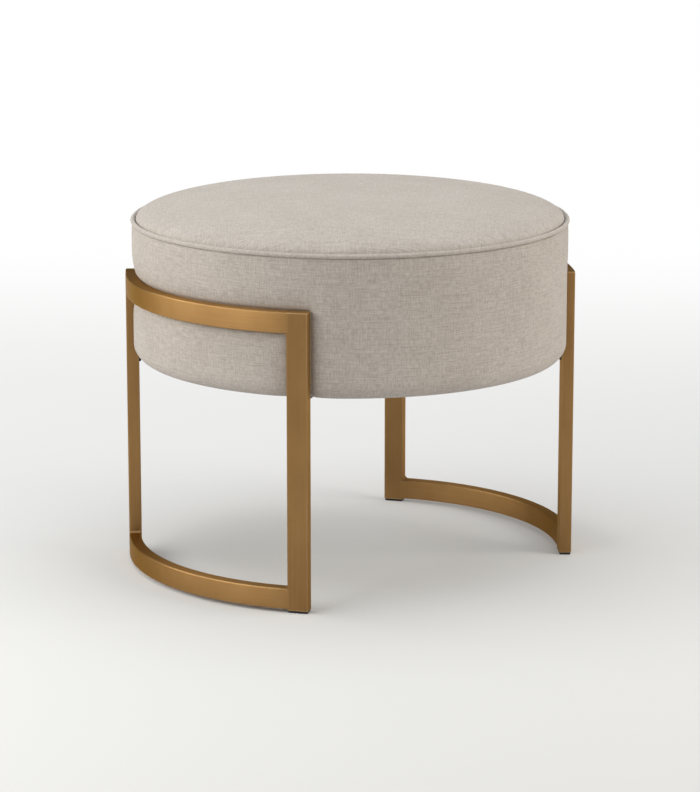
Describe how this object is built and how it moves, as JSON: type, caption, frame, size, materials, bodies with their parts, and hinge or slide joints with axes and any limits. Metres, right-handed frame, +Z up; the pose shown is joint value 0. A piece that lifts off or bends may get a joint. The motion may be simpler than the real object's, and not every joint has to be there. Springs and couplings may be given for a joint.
{
  "type": "vanity stool",
  "caption": "Backless round vanity stool: a crowned linen drum seat with piping, held between two half-moon frames of brass-coloured rectangular tube.",
  "frame": {"origin": "on the floor, under the centre of the seat", "axes": "+X through the middle of the right half-moon frame, +Y towards the back, +Z up"},
  "size_m": [0.542, 0.5282, 0.4475],
  "materials": {
    "brass_tube": "satin brushed antique brass plating on steel tube",
    "black_plastic": "matt moulded black",
    "black_steel": "satin black powder coat",
    "zinc": "bright zinc plate",
    "plywood": "raw birch plywood",
    "timber": "raw pine",
    "foam": "open-cell foam",
    "linen": "plain-woven slubby linen blend, oatmeal",
    "black_felt": "thin black non-woven cloth"
  },
  "bodies": {
    "root": {"right_upper_rail": "brass_tube", "right_lower_rail": "brass_tube", "left_upper_rail": "brass_tube", "left_lower_rail": "brass_tube", "right_front_leg": "brass_tube", "right_front_glide": "black_plastic", "right_front_seat_tab": "black_steel", "right_front_washer": "zinc", "right_front_seat_bolt": "zinc", "right_front_tee_nut": "zinc", "right_back_leg": "brass_tube", "right_back_glide": "black_plastic", "right_back_seat_tab": "black_steel", "right_back_washer": "zinc", "right_back_seat_bolt": "zinc", "right_back_tee_nut": "zinc", "left_back_leg": "brass_tube", "left_back_glide": "black_plastic", "left_back_seat_tab": "black_steel", "left_back_washer": "zinc", "left_back_seat_bolt": "zinc", "left_back_tee_nut": "zinc", "left_front_leg": "brass_tube", "left_front_glide": "black_plastic", "left_front_seat_tab": "black_steel", "left_front_washer": "zinc", "left_front_seat_bolt": "zinc", "left_front_tee_nut": "zinc", "base_board": "plywood", "deck_board": "plywood", "side_hoop": "plywood", "post_1": "timber", "base_screw_1": "zinc", "deck_screw_1": "zinc", "post_2": "timber", "base_screw_2": "zinc", "deck_screw_2": "zinc", "post_3": "timber", "base_screw_3": "zinc", "deck_screw_3": "zinc", "post_4": "timber", "base_screw_4": "zinc", "deck_screw_4": "zinc", "post_5": "timber", "base_screw_5": "zinc", "deck_screw_5": "zinc", "post_6": "timber", "base_screw_6": "zinc", "deck_screw_6": "zinc", "side_padding": "foam", "seat_foam": "foam", "boxing": "linen", "top_panel": "linen", "piping": "linen", "dust_cover": "black_felt"}
  },
  "joints": []
}
